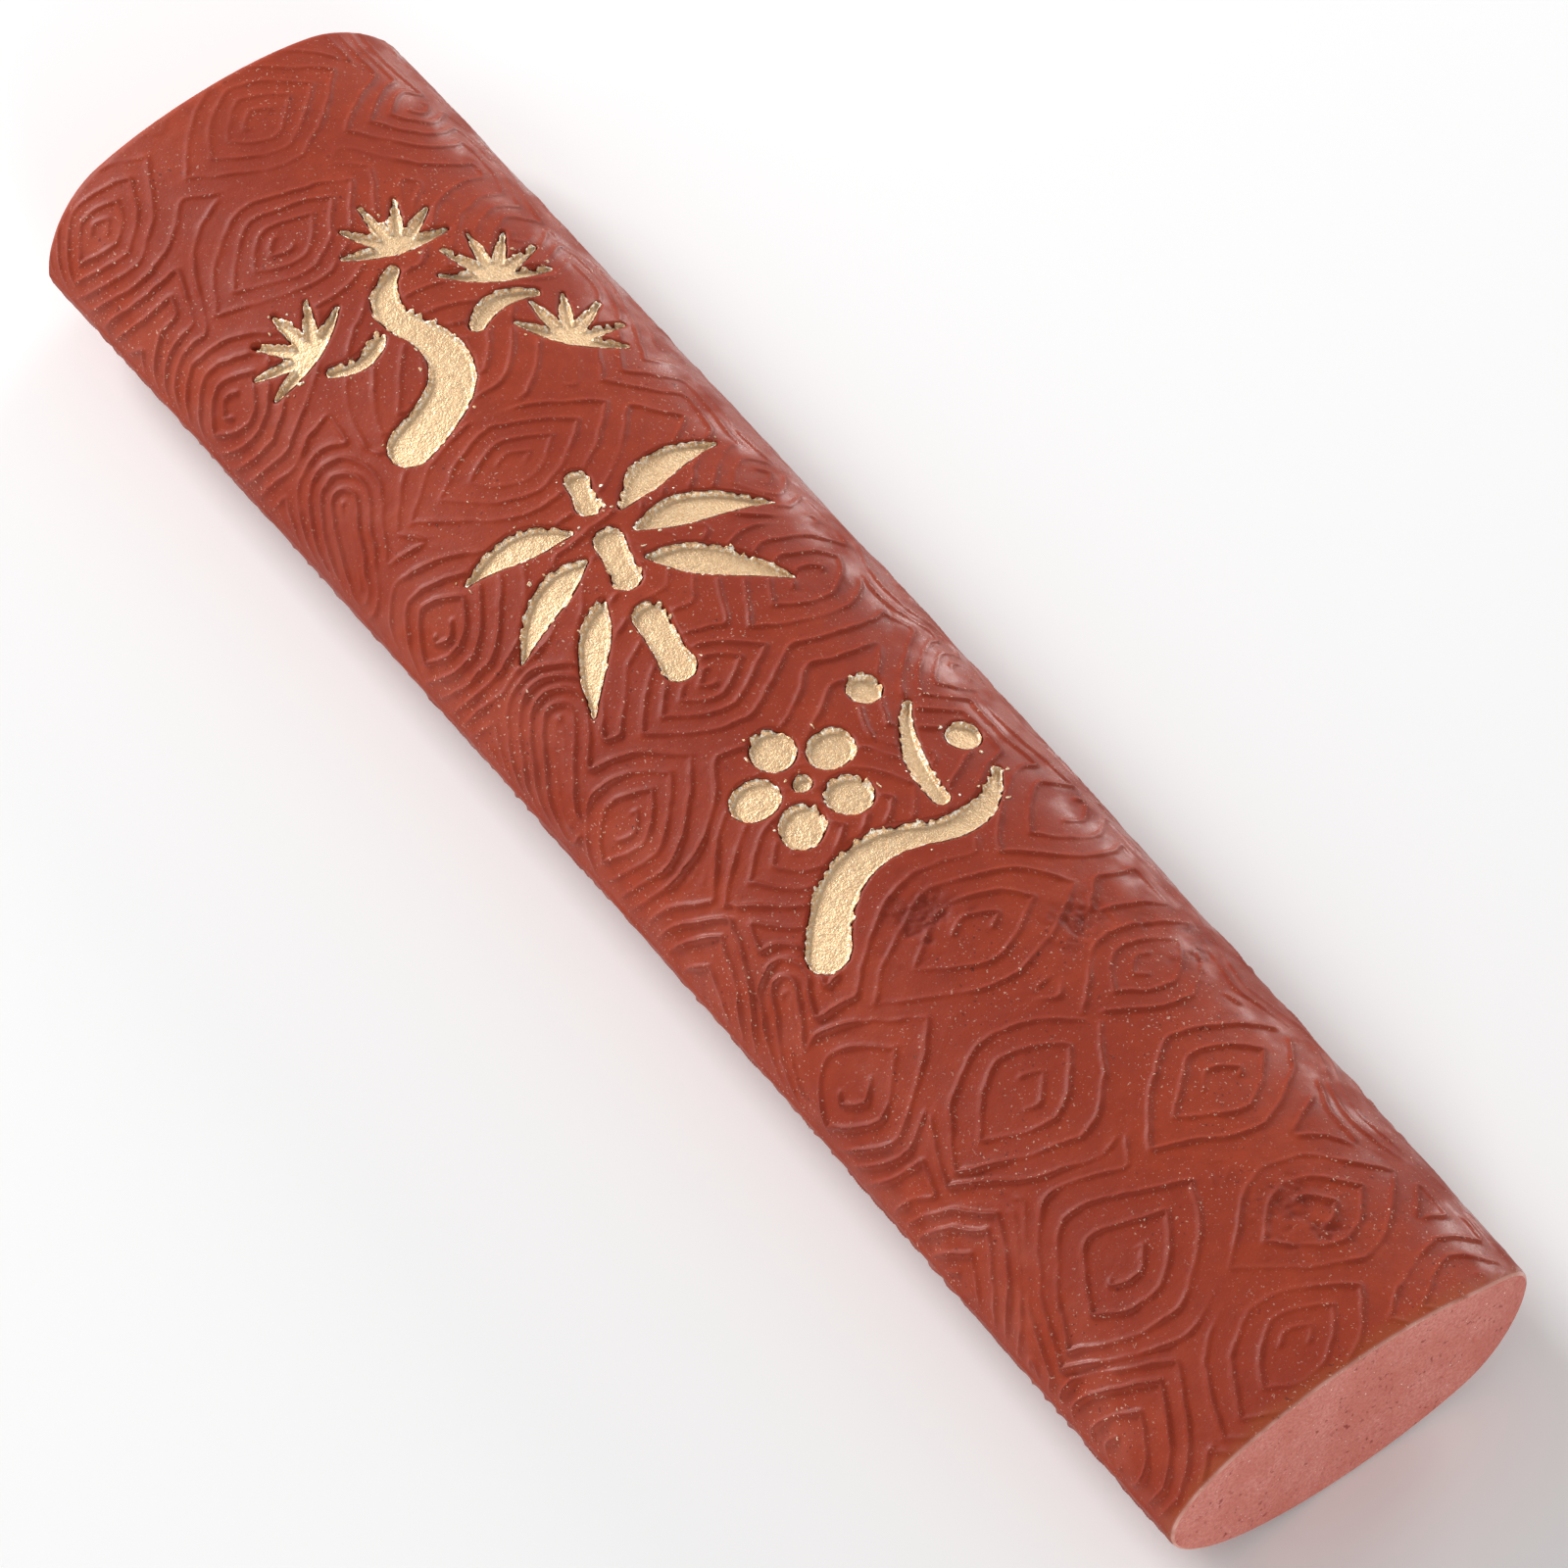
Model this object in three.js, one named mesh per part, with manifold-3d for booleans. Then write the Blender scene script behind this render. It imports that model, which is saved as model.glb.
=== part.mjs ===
// A moulded vermilion ink stick: one solid flat-oval bar of ink, with three brush pictures in gold paint
// (pine, bamboo and plum blossom) sunk into its upper face. Each brush stroke that stands alone is one recess
// in the ink and one film of gold in it.
// Millimetres. +X runs along the stick to the end that is ground on the inkstone, +Y across it, +Z up.
// The origin is on the surface that the stick lies on, under its middle.

import * as THREE from "three";
import { mergeVertices } from "three/addons/utils/BufferGeometryUtils.js";
import Module from "manifold-3d";

// The bar.
const LENGTH = 94.3;
const WIDTH = 22;
const THICKNESS = 10.4;
const SECTION_POWER = 2.05; // 2 is an ellipse, and more is squarer
const SIDE_BOW = 0.3; // how far the middle stands towards +Y of the ends
const UP_BOW = 0.15; // how far the middle stands above the ends
const BOW_STEPS = 6;
const SECTION_POINTS = 40; // a multiple of 4

// How far each end's corners are worn back, as seen from above, outside the flat middle of the end.
const END_FLAT_HALF = 6.5;
const END_WEAR = { grinding: { left: 0.1, right: 0.75 }, back: { left: 1.35, right: 1.35 } };
const CORNER_POINTS = 6;
const PLAN_MARGIN = 1; // how far the plan outline stands clear of the bar's sides

// The gold.
const RECESS_DEPTH = 0.5;
const FILM_TOP_DEPTH = 0.2; // below the face
const FILM_GAP = 0.05; // between the gold and its recess, all round
const BRUSH_SIDE_POINTS = 8;
const BRUSH_CAP_POINTS = 6;
const DAB_POINTS = 22;
const BELLY = 0.38; // where along a brush stroke it is widest
const NEEDLES = 6; // in one tuft of the pine
const NEEDLE_SPREAD = 160; // degrees
const PETALS = 5;
const BLOSSOM = { x: -1.3, y: 2.5, radius: 2.4 }; // the petals' centres lie on the radius

const INK = new THREE.MeshStandardMaterial({ color: 0xa0412f, roughness: 0.55, metalness: 0 });
const GOLD = new THREE.MeshStandardMaterial({ color: 0xe6c489, roughness: 0.38, metalness: 0.85 });

const wasm = await Module();
wasm.setup();

function solidOf(geometry) {
  const bare = geometry.clone().deleteAttribute("normal").deleteAttribute("uv");
  const merged = mergeVertices(bare, 1e-4);
  return new wasm.Manifold(
    new wasm.Mesh({
      numProp: 3,
      vertProperties: merged.getAttribute("position").array,
      triVerts: new Uint32Array(merged.getIndex().array),
    }),
  );
}

function meshOf(name, solid, material) {
  const { vertProperties, triVerts } = solid.getMesh();
  const geometry = new THREE.BufferGeometry();
  geometry.setAttribute("position", new THREE.BufferAttribute(vertProperties, 3));
  geometry.setIndex(new THREE.BufferAttribute(triVerts, 1));
  geometry.computeVertexNormals();
  const mesh = new THREE.Mesh(geometry, material);
  mesh.name = name;
  return mesh;
}

// A superellipse's cosine or sine.
function rounded(value) {
  return Math.sign(value) * Math.abs(value) ** (2 / SECTION_POWER);
}

// The bar's cross-section, a superellipse about (0, 0), with x across the stick and y up. Its sides are laid
// out so that one of them is level at the bottom, which is the narrow flat that the stick lies on.
function sectionShape() {
  const step = (2 * Math.PI) / SECTION_POINTS;
  const widest = rounded(Math.cos(step / 2));
  const points = [];
  for (let i = 0; i < SECTION_POINTS; i++) {
    const angle = step * (i + 0.5);
    const across = rounded(Math.cos(angle)) / widest;
    const up = rounded(Math.sin(angle)) / widest;
    points.push(new THREE.Vector2((across * WIDTH) / 2, (up * THICKNESS) / 2));
  }
  return new THREE.Shape(points);
}

// The bowed bar before its ends are worn, lowered by `lowered`.
function barGeometry(lowered = 0) {
  const options = { depth: LENGTH, steps: BOW_STEPS, bevelEnabled: false };
  const bar = new THREE.ExtrudeGeometry(sectionShape(), options);
  bar.translate(0, 0, -LENGTH / 2);
  const toStick = new THREE.Matrix4().makeBasis(
    new THREE.Vector3(0, 1, 0),
    new THREE.Vector3(0, 0, 1),
    new THREE.Vector3(1, 0, 0),
  );
  bar.applyMatrix4(toStick);
  const position = bar.getAttribute("position");
  for (let i = 0; i < position.count; i++) {
    const arch = 1 - (position.getX(i) / (LENGTH / 2)) ** 2;
    position.setY(i, position.getY(i) + SIDE_BOW * (arch - 0.5));
    position.setZ(i, position.getZ(i) + THICKNESS / 2 + UP_BOW * arch - lowered);
  }
  return bar;
}

// One corner of the stick seen from above, from the flat middle of the end out past the side.
function wornCorner(end, side, wear) {
  const points = [];
  for (let i = 0; i <= CORNER_POINTS; i++) {
    const share = i / CORNER_POINTS;
    const across = END_FLAT_HALF + share * (WIDTH / 2 - END_FLAT_HALF);
    points.push(new THREE.Vector2(end * (LENGTH / 2 - wear * share ** 2), side * across));
  }
  points.push(new THREE.Vector2(points.at(-1).x, side * (WIDTH / 2 + PLAN_MARGIN)));
  return points;
}

// The stick's outline seen from above, pushed through its whole height.
function planGeometry() {
  const outline = [
    ...wornCorner(1, -1, END_WEAR.grinding.left).reverse(),
    ...wornCorner(1, 1, END_WEAR.grinding.right),
    ...wornCorner(-1, 1, END_WEAR.back.right).reverse(),
    ...wornCorner(-1, -1, END_WEAR.back.left),
  ];
  const height = THICKNESS + UP_BOW + 2 * PLAN_MARGIN;
  const plan = new THREE.ExtrudeGeometry(new THREE.Shape(outline), { depth: height, bevelEnabled: false });
  return plan.translate(0, 0, -PLAN_MARGIN);
}

// Half the width of a brush stroke at `t`, which goes from 0 at its start to 1 at its tip.
function brushHalfWidth([start, belly, tip], t) {
  const rising = t < BELLY;
  const edge = rising ? start : tip;
  const share = rising ? t / BELLY : (1 - t) / (1 - BELLY);
  return edge + (belly - edge) * Math.sin((Math.PI / 2) * share);
}

function halfway([x, y], [x2, y2]) {
  return [(x + x2) / 2, (y + y2) / 2];
}

// The outline of a stroke whose spine bends from `from` towards `bend` to `to`. `half` gives half its width
// at the start, the belly and the tip. Both ends are round. `inset` draws it in all round.
function brushShape({ from, bend, to, half }, inset) {
  const spine = new THREE.QuadraticBezierCurve(
    new THREE.Vector2(...from),
    new THREE.Vector2(...bend),
    new THREE.Vector2(...to),
  );
  const outline = [];
  const addPoint = (t, angle) => {
    const along = spine.getTangent(t);
    const direction = along.rotateAround(new THREE.Vector2(), angle);
    outline.push(spine.getPoint(t).addScaledVector(direction, brushHalfWidth(half, t) - inset));
  };
  for (let i = 0; i < BRUSH_SIDE_POINTS; i++) {
    addPoint(i / BRUSH_SIDE_POINTS, -Math.PI / 2);
  }
  for (let i = 0; i <= BRUSH_CAP_POINTS; i++) {
    addPoint(1, Math.PI * (i / BRUSH_CAP_POINTS - 0.5));
  }
  for (let i = BRUSH_SIDE_POINTS - 1; i > 0; i--) {
    addPoint(i / BRUSH_SIDE_POINTS, Math.PI / 2);
  }
  for (let i = 0; i < BRUSH_CAP_POINTS; i++) {
    addPoint(0, Math.PI * (i / BRUSH_CAP_POINTS + 0.5));
  }
  return new THREE.Shape(outline);
}

// A round dab of the brush, an ellipse whose longer radius points along `turn`, drawn in by `inset`.
function dabShape({ centre: [x, y], radii: [along, across], turn }, inset) {
  const rim = new THREE.EllipseCurve(x, y, along - inset, across - inset, 0, 2 * Math.PI, false, turn);
  return new THREE.Shape(rim.getPoints(DAB_POINTS).slice(1));
}

// The space over one gold patch: its strokes joined, pushed straight up through the upper half of the bar. A
// picture is drawn with its right towards +Y and its top towards -X.
function prismOf(strokes, centre, inset) {
  const height = THICKNESS / 2 + UP_BOW + PLAN_MARGIN;
  const turn = new THREE.Matrix4().makeRotationZ(Math.PI / 2);
  const parts = strokes.map((stroke) => {
    const shape = stroke.radii ? dabShape(stroke, inset) : brushShape(stroke, inset);
    const prism = new THREE.ExtrudeGeometry(shape, { depth: height, bevelEnabled: false });
    prism.applyMatrix4(turn).translate(centre.x, centre.y, THICKNESS / 2);
    return solidOf(prism);
  });
  return parts.reduce((joined, part) => joined.add(part));
}

// A tuft of pine needles round a point, opening along `facing` degrees.
function needleTuft(x, y, facing, length = 3.2) {
  const strokes = [];
  for (let i = 0; i < NEEDLES; i++) {
    const share = i / (NEEDLES - 1) - 0.5;
    const angle = THREE.MathUtils.degToRad(facing + NEEDLE_SPREAD * share);
    const reach = length * (1 - 0.5 * share ** 2);
    const to = [x + reach * Math.cos(angle), y + reach * Math.sin(angle)];
    strokes.push({ from: [x, y], bend: halfway([x, y], to), to, half: [0.36, 0.4, 0.15] });
  }
  return strokes;
}

// A bamboo leaf: a quick stroke that lifts, swells to `belly` and runs out to a point.
function leaf(from, to, lift, belly) {
  const [x, y] = halfway(from, to);
  return [{ from, bend: [x, y + lift], to, half: [0.2, belly, 0.14] }];
}

// One length of a bamboo stem between two joints, a little waisted.
function culm(from, to, half) {
  return [{ from, bend: halfway(from, to), to, half: [half, 0.86 * half, half] }];
}

// Petal `i` of the plum blossom, longer towards the flower's heart than across.
function petal(i) {
  const turn = Math.PI / 2 + (2 * Math.PI * i) / PETALS;
  const centre = [BLOSSOM.x + BLOSSOM.radius * Math.cos(turn), BLOSSOM.y + BLOSSOM.radius * Math.sin(turn)];
  return [{ centre, radii: [1.32, 1.2], turn }];
}

function roundDab(x, y, radius) {
  return [{ centre: [x, y], radii: [radius, radius], turn: 0 }];
}

const pine = {
  trunk: [
    { from: [-4.4, -5.6], bend: [1.2, -4.6], to: [-0.2, -0.4], half: [1.3, 1.25, 0.85] },
    { from: [-0.2, -0.4], bend: [-1.5, 2.2], to: [0.9, 3.3], half: [0.85, 0.85, 0.4] },
  ],
  bough_left: [{ from: [-2.1, 0.4], bend: [-3.4, -0.6], to: [-4.9, 0.5], half: [0.4, 0.5, 0.35] }],
  bough_right: [{ from: [2.3, -1.9], bend: [4.0, -0.6], to: [6.0, -1.7], half: [0.5, 0.6, 0.3] }],
  tuft_left: needleTuft(-5.0, 1.9, 110),
  tuft_top: needleTuft(1.9, 4.3, 75),
  tuft_right: needleTuft(4.9, 0.1, 65),
  tuft_low: needleTuft(5.6, -5.2, 45),
};

const bamboo = {
  culm_low: culm([-1.9, -5.9], [-1.3, -2.7], 0.95),
  culm_middle: culm([-0.85, -0.1], [-0.25, 2.2], 0.85),
  culm_top: culm([0.15, 4.5], [0.6, 6.0], 0.7),
  leaf_right_high: leaf([1.4, 3.4], [7.8, 4.4], 1.2, 0.95),
  leaf_right_middle: leaf([1.3, 1.9], [7.9, -0.1], 0.9, 1.0),
  leaf_right_low: leaf([0.7, 0.2], [5.9, -4.8], 0.7, 1.0),
  leaf_left_high: leaf([-1.5, 3.7], [-6.9, 5.0], 1.0, 0.9),
  leaf_left_middle: leaf([-1.9, 1.9], [-7.4, -0.3], 1.1, 0.95),
  leaf_left_low: leaf([-2.6, -0.5], [-6.6, -5.2], 0.8, 0.85),
};

const plum = {
  heart: roundDab(BLOSSOM.x, BLOSSOM.y, 0.55),
  bough: [
    { from: [-5.8, -5.6], bend: [-2.6, -1.2], to: [1.6, -3.4], half: [1.2, 1.1, 0.7] },
    { from: [1.6, -3.4], bend: [4.6, -5.0], to: [7.0, -2.2], half: [0.7, 0.75, 0.25] },
  ],
  twig: [{ from: [3.6, -2.2], bend: [3.6, 1.4], to: [5.8, 3.4], half: [0.5, 0.55, 0.2] }],
  bud_high: roundDab(4.5, 5.2, 0.95),
  bud_low: roundDab(6.9, 0.4, 0.95),
};
for (let i = 0; i < PETALS; i++) {
  plum[`petal_${i + 1}`] = petal(i);
}

const pictures = [
  { plant: "pine", centre: new THREE.Vector2(-28.5, 0), patches: pine },
  { plant: "bamboo", centre: new THREE.Vector2(-9.8, 0), patches: bamboo },
  { plant: "plum", centre: new THREE.Vector2(7.8, 0), patches: plum },
];

const plan = solidOf(planGeometry());
const recessFloor = solidOf(barGeometry(RECESS_DEPTH));
const filmTop = solidOf(barGeometry(FILM_TOP_DEPTH));
const filmFloor = solidOf(barGeometry(RECESS_DEPTH - FILM_GAP));

const inkStick = new THREE.Group();
let ink = solidOf(barGeometry()).intersect(plan);
for (const { plant, centre, patches } of pictures) {
  for (const [patch, strokes] of Object.entries(patches)) {
    ink = ink.subtract(prismOf(strokes, centre, 0).subtract(recessFloor));
    const film = prismOf(strokes, centre, FILM_GAP).intersect(filmTop).subtract(filmFloor);
    inkStick.add(meshOf(`${plant}_${patch}_gold`, film, GOLD));
  }
}
inkStick.add(meshOf("ink_body", ink, INK));

export default inkStick;
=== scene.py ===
"""The looks of a moulded vermilion ink stick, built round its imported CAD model.

The ink is one mesh, displaced by the mould's raised lines and sunk where the CAD model has gold.
Each film of gold is a mesh of its own over the outline of its CAD node. Sizes are in millimetres, apart
from the studio's, which are in metres.
"""
import math

import bpy
import numpy as np
from mathutils import Matrix, Vector, geometry


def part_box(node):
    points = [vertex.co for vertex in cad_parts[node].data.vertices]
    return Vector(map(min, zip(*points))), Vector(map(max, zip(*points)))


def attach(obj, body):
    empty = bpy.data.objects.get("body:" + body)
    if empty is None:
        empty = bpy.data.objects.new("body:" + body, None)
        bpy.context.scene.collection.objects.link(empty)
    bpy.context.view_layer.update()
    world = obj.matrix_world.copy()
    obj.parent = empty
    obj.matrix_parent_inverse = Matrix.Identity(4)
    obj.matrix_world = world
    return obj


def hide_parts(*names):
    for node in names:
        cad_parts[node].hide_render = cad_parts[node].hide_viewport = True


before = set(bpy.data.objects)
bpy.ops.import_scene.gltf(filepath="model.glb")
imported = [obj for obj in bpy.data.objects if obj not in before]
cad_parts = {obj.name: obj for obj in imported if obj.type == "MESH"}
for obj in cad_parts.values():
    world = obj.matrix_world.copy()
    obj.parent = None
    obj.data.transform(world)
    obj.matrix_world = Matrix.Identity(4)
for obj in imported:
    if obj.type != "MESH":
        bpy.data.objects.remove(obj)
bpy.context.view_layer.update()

MM = 0.001

# The bar, as the CAD model makes it.
LOW, HIGH = (np.array(corner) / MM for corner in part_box("ink_body"))
SIDE_BOW = 0.3  # how far the bar bends to the side
UP_BOW = 0.15  # and up in the middle
LENGTH = HIGH[0] - LOW[0]
HALF_WIDTH = (HIGH[1] - LOW[1] - SIDE_BOW) / 2
HALF_THICK = (HIGH[2] - LOW[2] - UP_BOW) / 2
SECTION_POWER = 2.05  # 2 makes the section an ellipse, and more makes it fuller
END_FLAT_HALF = 6.5  # the ends are flat this far to each side of the middle, and worn back beyond it
END_WEAR = {"grinding": {"left": 0.1, "right": 0.75}, "back": {"left": 1.35, "right": 1.35}}
WORN_STRETCH = 5.0  # how much of the bar's length the end wear is spread over
# The radius of the edge between the sides and each end. The first is broken off sharp, the second moulded.
RIM_RADIUS = {"grinding": 0.14, "back": 0.45}

# The mesh of the bar.
CELL = 0.1  # on the sides
RIM_STATIONS = np.array([0, 0.14, 0.36, 0.64])  # the closer rings over that edge, as shares of its radius
CAP_CELL = 0.12  # on the end faces

# The mould's lines: nests of pointed rings, and lines between the nests that echo them.
LINE_GAP = 1.35  # between the echo lines
SHOULDER_GAP = 0.9  # and on the left shoulder, where y is negative
SHOULDER_GAP_ZONE = (5.5, 8.5)  # how far round from the top the gap starts to narrow, and where it has
LINE_HEIGHT = 0.12
LINE_SIGMA = 0.112  # about half the width of a line
TAIL_HEIGHT, TAIL = 0.04, 0.28  # the low foot that spreads out from each line
WOBBLES = [(0.6, 6.0), (0.11, 1.4), (0.04, 0.45)]  # how far the carver's hand strays, and over what length
RING_SPREAD = 0.8  # under 1, the inner rings are the more closely nested
DIAMOND = 0.3  # 0 makes the rings lenses, and 1 makes them diamonds
NEST_TURN, NEST_TURN_SPREAD = 0.1, 0.16  # how far a nest is turned, in radians, and how much that varies
NEST_TURN_STEP, NEST_OPEN_STEP = 2.4, 1.7  # radians from one nest to the next, so that no two look alike
# The lines along the right shoulder: how far round from the top they start, their gap, the number of the
# first, and how far they sway.
EDGE_START, EDGE_GAP, EDGE_FIRST, EDGE_SWAY = 11.2, 0.75, 1.0, 0.7
LEFT_LIFT = 0.6  # how much higher the lines stand on the left shoulder
LEFT_LIFT_ZONE = (4.5, 8.5)  # how far round from the top they start to rise, and where they have
BACK_LIFT = 0.68  # how high the lines stand at the back end, where the mould was filled less sharply
BACK_LIFT_ZONE = (-32, 4)  # where along the stick they start to rise to their full height, and reach it
UNDER_LIFT = 0.75  # how high they stand on the underside, which is rubbed by what it lies on
END_LIFT = 0.45  # how high they stand right at an end
WORN_LIFT = 0.32  # how high they stand where they are most worn
BLEND = 0.16  # how softly the lines of two nests flow into each other, in lines
# Where the count of lines rises by less than the first value a millimetre, there is no line. Past the
# second, the line is whole.
CLEAR_SLOPE = (0.12, 0.4)
# The same for the count averaged over LOOP_REACH grid points each way, which leaves out the small loops.
LOOP_SLOPE = (0.2, 0.45)
LOOP_REACH = 8
LEAST_SLOPE = 0.35  # keeps a line from spreading where the count hardly rises
# Each nest: where its heart is along and across the stick, its half size along and across, and its rings.
TOP_NESTS = [
    (-43.8, 1.2, 3.1, 4.9, 4), (-36.8, -2.4, 3.1, 4.9, 4), (-40.3, 8.6, 2.9, 4.8, 4),
    (-44.4, -8.6, 3.1, 4.6, 4), (-31.8, -9.2, 3.3, 4.8, 4), (-30.5, 7.6, 3.3, 4.8, 4),
    (-26.0, 0.5, 2.8, 4.2, 3), (-18.9, -1.3, 3.4, 5.7, 4), (-21.0, 10.0, 3.1, 4.2, 3),
    (-14.2, -9.0, 3.3, 4.8, 4), (-11.5, 8.5, 3.3, 4.6, 4), (-4.6, 6.2, 2.8, 4.4, 3),
    (-2.2, -1.2, 2.9, 4.6, 4), (0.8, -9.0, 3.4, 4.8, 4), (3.8, 9.6, 3.1, 4.6, 4),
    (8.2, -3.2, 3.3, 5.1, 4), (9.6, -11.0, 3.1, 3.8, 3), (13.8, 8.6, 3.1, 4.9, 3),
    (17.3, 0.1, 3.4, 5.9, 3), (23.3, 5.6, 2.6, 4.4, 3), (19.6, -9.0, 3.4, 4.8, 3),
    (25.9, -3.4, 3.6, 5.1, 3), (30.8, 4.4, 3.4, 5.3, 3), (26.5, 11.6, 3.1, 3.8, 3),
    (36.0, -5.2, 3.6, 5.1, 3), (39.4, 3.4, 3.3, 5.1, 3), (30.0, -11.2, 3.1, 3.8, 3),
    (35.8, 11.4, 3.1, 3.8, 3), (46.4, 7.4, 3.1, 4.8, 3), (45.0, -1.8, 2.9, 4.6, 3),
    (42.3, -10.6, 3.3, 4.4, 3),
]
# The underside comes out of the same mould turned end for end.
UNDER_NESTS = [(-along, -across, *rest) for along, across, *rest in TOP_NESTS]
# Bundles of straight lines that slant down the left shoulder between the nests: along and across.
BUNDLES = [(-21.1, -9.7), (-3.8, -9.4), (15.3, -9.8)]
BUNDLE_HALF_LENGTH = 2.6
BUNDLE_TURN = 0.93  # in radians
BUNDLE_FIRST = 2  # the number of the line down its middle
BUNDLE_GAP = 0.74
# Patches where the ink crumbled as it left the mould: along, across, radius.
CRUMBLED = [(15.5, -1.5, 2.2), (39.5, 3.0, 2.2), (23.0, 8.0, 2.0), (-2.0, 8.5, 1.6), (20.0, 4.5, 1.8)]
CRUMB_DEPTH = 0.17

# The gold.
UPWARD = 0.3  # a face of a CAD film whose normal rises by at least this is on its upper side
RECESS_DEPTH = 0.5
RECESS_MARGIN = 1.5  # how far from a recess its distance is worked out
RECESS_RELIEF = 0.25  # the share of the relief that is left beside a recess and in it
FILM_GAP = 0.05  # the CAD film stands this far clear of its recess
WALL_OUT, WALL_IN = 0.05, 0.14  # how far outside its outline a recess's wall starts, and inside it ends
GOLD_CELL = 0.09
GOLD_EDGE_DEPTH, GOLD_DEPTH = 0.06, 0.33
GOLD_MENISCUS = 0.16  # how far in from the edge the gold reaches its full depth
GOLD_SKIN = 0.02  # the least thickness of gold over the ink
GOLD_STRAY = 0.09  # how far the gold's edge wanders
GOLD_TEETH, GOLD_BURRS = 0.13, 0.05  # how long its teeth are where it has them, and its burrs everywhere
GOLD_STRAY_RANGE = (-0.12, 0.16)  # the furthest that all these take the edge in and out
GOLD_LUMPS, GOLD_GRAIN = 0.008, 0.014  # the unevenness of its surface, broad and fine
GOLD_MARGIN = 0.8  # how far past an outline the lattice of its gold runs
FLECK_REACH = 0.5  # how far from its edge stray flecks of gold lie
FLECK_LEVEL = 0.84  # nearer 1, there are fewer
FLECK_FALL = 0.35  # turns what is missing to that level into about a distance
SNAP = 0.25  # a lattice point this close to the gold's edge, in cells, is moved onto it

# The camera, about the middle of the stick. Angles are in degrees.
CAMERA_AZIMUTH = -33.12
CAMERA_ELEVATION = 56.97
CAMERA_ROLL = -4.26
CAMERA_DISTANCE = 555.0
CAMERA_AIM_RIGHT, CAMERA_AIM_DOWN = 1.17, 1.33
CAMERA_LENS = 259.8
SENSOR = 36.0

# The studio. Each lamp has its direction from the stick, its distance and size in metres, and its power
# in watts.
LAMPS = {
    "key": ((-1.0, -0.2, 0.52), 0.6, 0.2, 3.6),
    "right": ((-0.4, 1.0, 0.24), 0.6, 0.22, 1.35),
    "left": ((-0.4, -1.0, 0.35), 0.6, 0.3, 0.25),
    "front": ((1.0, -0.3, 0.4), 0.7, 0.3, 1.9),
}
WORLD_STRENGTH = 0.33
FLOOR_HALF = 3.0  # half the floor's side, in metres


# ---------------------------------------------------------------- numbers

def smoothstep(low, high, value):
    """0 up to low, 1 past high, and a smooth rise between them. With low above high, it falls instead."""
    share = np.clip((value - low) / (high - low), 0, 1)
    return share * share * (3 - 2 * share)


class Noise:
    """Smooth random values from -1 to 1 over a plane, the same every run.

    A number added to x or y reads another part of the plane, so that two uses of a noise don't match."""

    SIZE = 256

    def __init__(self, seed):
        self.lattice = np.random.default_rng(seed).uniform(-1, 1, (self.SIZE, self.SIZE))

    def __call__(self, x, y, grain):
        """The noise at points (x, y), with features about `grain` across."""
        x, y = x / grain, y / grain
        column, row = np.floor(x).astype(int), np.floor(y).astype(int)
        fx, fy = smoothstep(0, 1, x - column), smoothstep(0, 1, y - row)
        left, right = column % self.SIZE, (column + 1) % self.SIZE
        low, high = row % self.SIZE, (row + 1) % self.SIZE
        near = self.lattice[left, low] * (1 - fx) + self.lattice[right, low] * fx
        far = self.lattice[left, high] * (1 - fx) + self.lattice[right, high] * fx
        return near * (1 - fy) + far * fy

    def rough(self, x, y, grain, octaves=3):
        """The same with finer and fainter noise added."""
        total = sum(self(x + 37 * k, y - 53 * k, grain / 2**k) / 2**k for k in range(octaves))
        return total / (2 - 2.0 ** (1 - octaves))


# ---------------------------------------------------------------- the bar's smooth shape

class Section:
    """The bar's cross-section by its arc length: 0 at the top, plus or minus `quarter` at the edges."""

    def __init__(self, samples=4001):
        angle = np.linspace(0, math.pi / 2, samples)
        self.y = HALF_WIDTH * np.sin(angle) ** (2 / SECTION_POWER)
        self.z = HALF_THICK * np.cos(angle) ** (2 / SECTION_POWER)
        self.arc = np.concatenate([[0], np.cumsum(np.hypot(np.diff(self.y), np.diff(self.z)))])
        self.quarter = self.arc[-1]

    def at(self, arc):
        """Place across and height at these arc lengths on the upper half."""
        y = np.sign(arc) * np.interp(np.abs(arc), self.arc, self.y)
        return y, np.interp(np.abs(arc), self.arc, self.z)

    def normal(self, arc):
        """The outward direction, across and up, at these arc lengths."""
        y, z = self.at(arc)
        ny = np.sign(y) * np.abs(y / HALF_WIDTH) ** (SECTION_POWER - 1) / HALF_WIDTH
        nz = np.abs(z / HALF_THICK) ** (SECTION_POWER - 1) / HALF_THICK
        size = np.hypot(ny, nz)
        return ny / size, nz / size

    def arc_of(self, y):
        """The arc length at these places across."""
        return np.sign(y) * np.interp(np.abs(y), self.y, self.arc)


section = Section()


def bow(x):
    """How far the bar's middle line stands aside and up at x."""
    arch = 1 - (x / (LENGTH / 2)) ** 2
    return SIDE_BOW * (arch - 0.5), UP_BOW * arch


def worn_x(x, y):
    """x with the corners of both ends drawn back."""
    corner = np.clip((np.abs(y) - END_FLAT_HALF) / (HALF_WIDTH - END_FLAT_HALF), 0, 1) ** 2
    nearness = np.clip((np.abs(x) - (LENGTH / 2 - WORN_STRETCH)) / WORN_STRETCH, 0, 1) ** 2
    wear = {end: np.where(y > 0, sides["right"], sides["left"]) for end, sides in END_WEAR.items()}
    return x - np.sign(x) * np.where(x > 0, wear["grinding"], wear["back"]) * corner * nearness


# ---------------------------------------------------------------- the mould's lines

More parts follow.
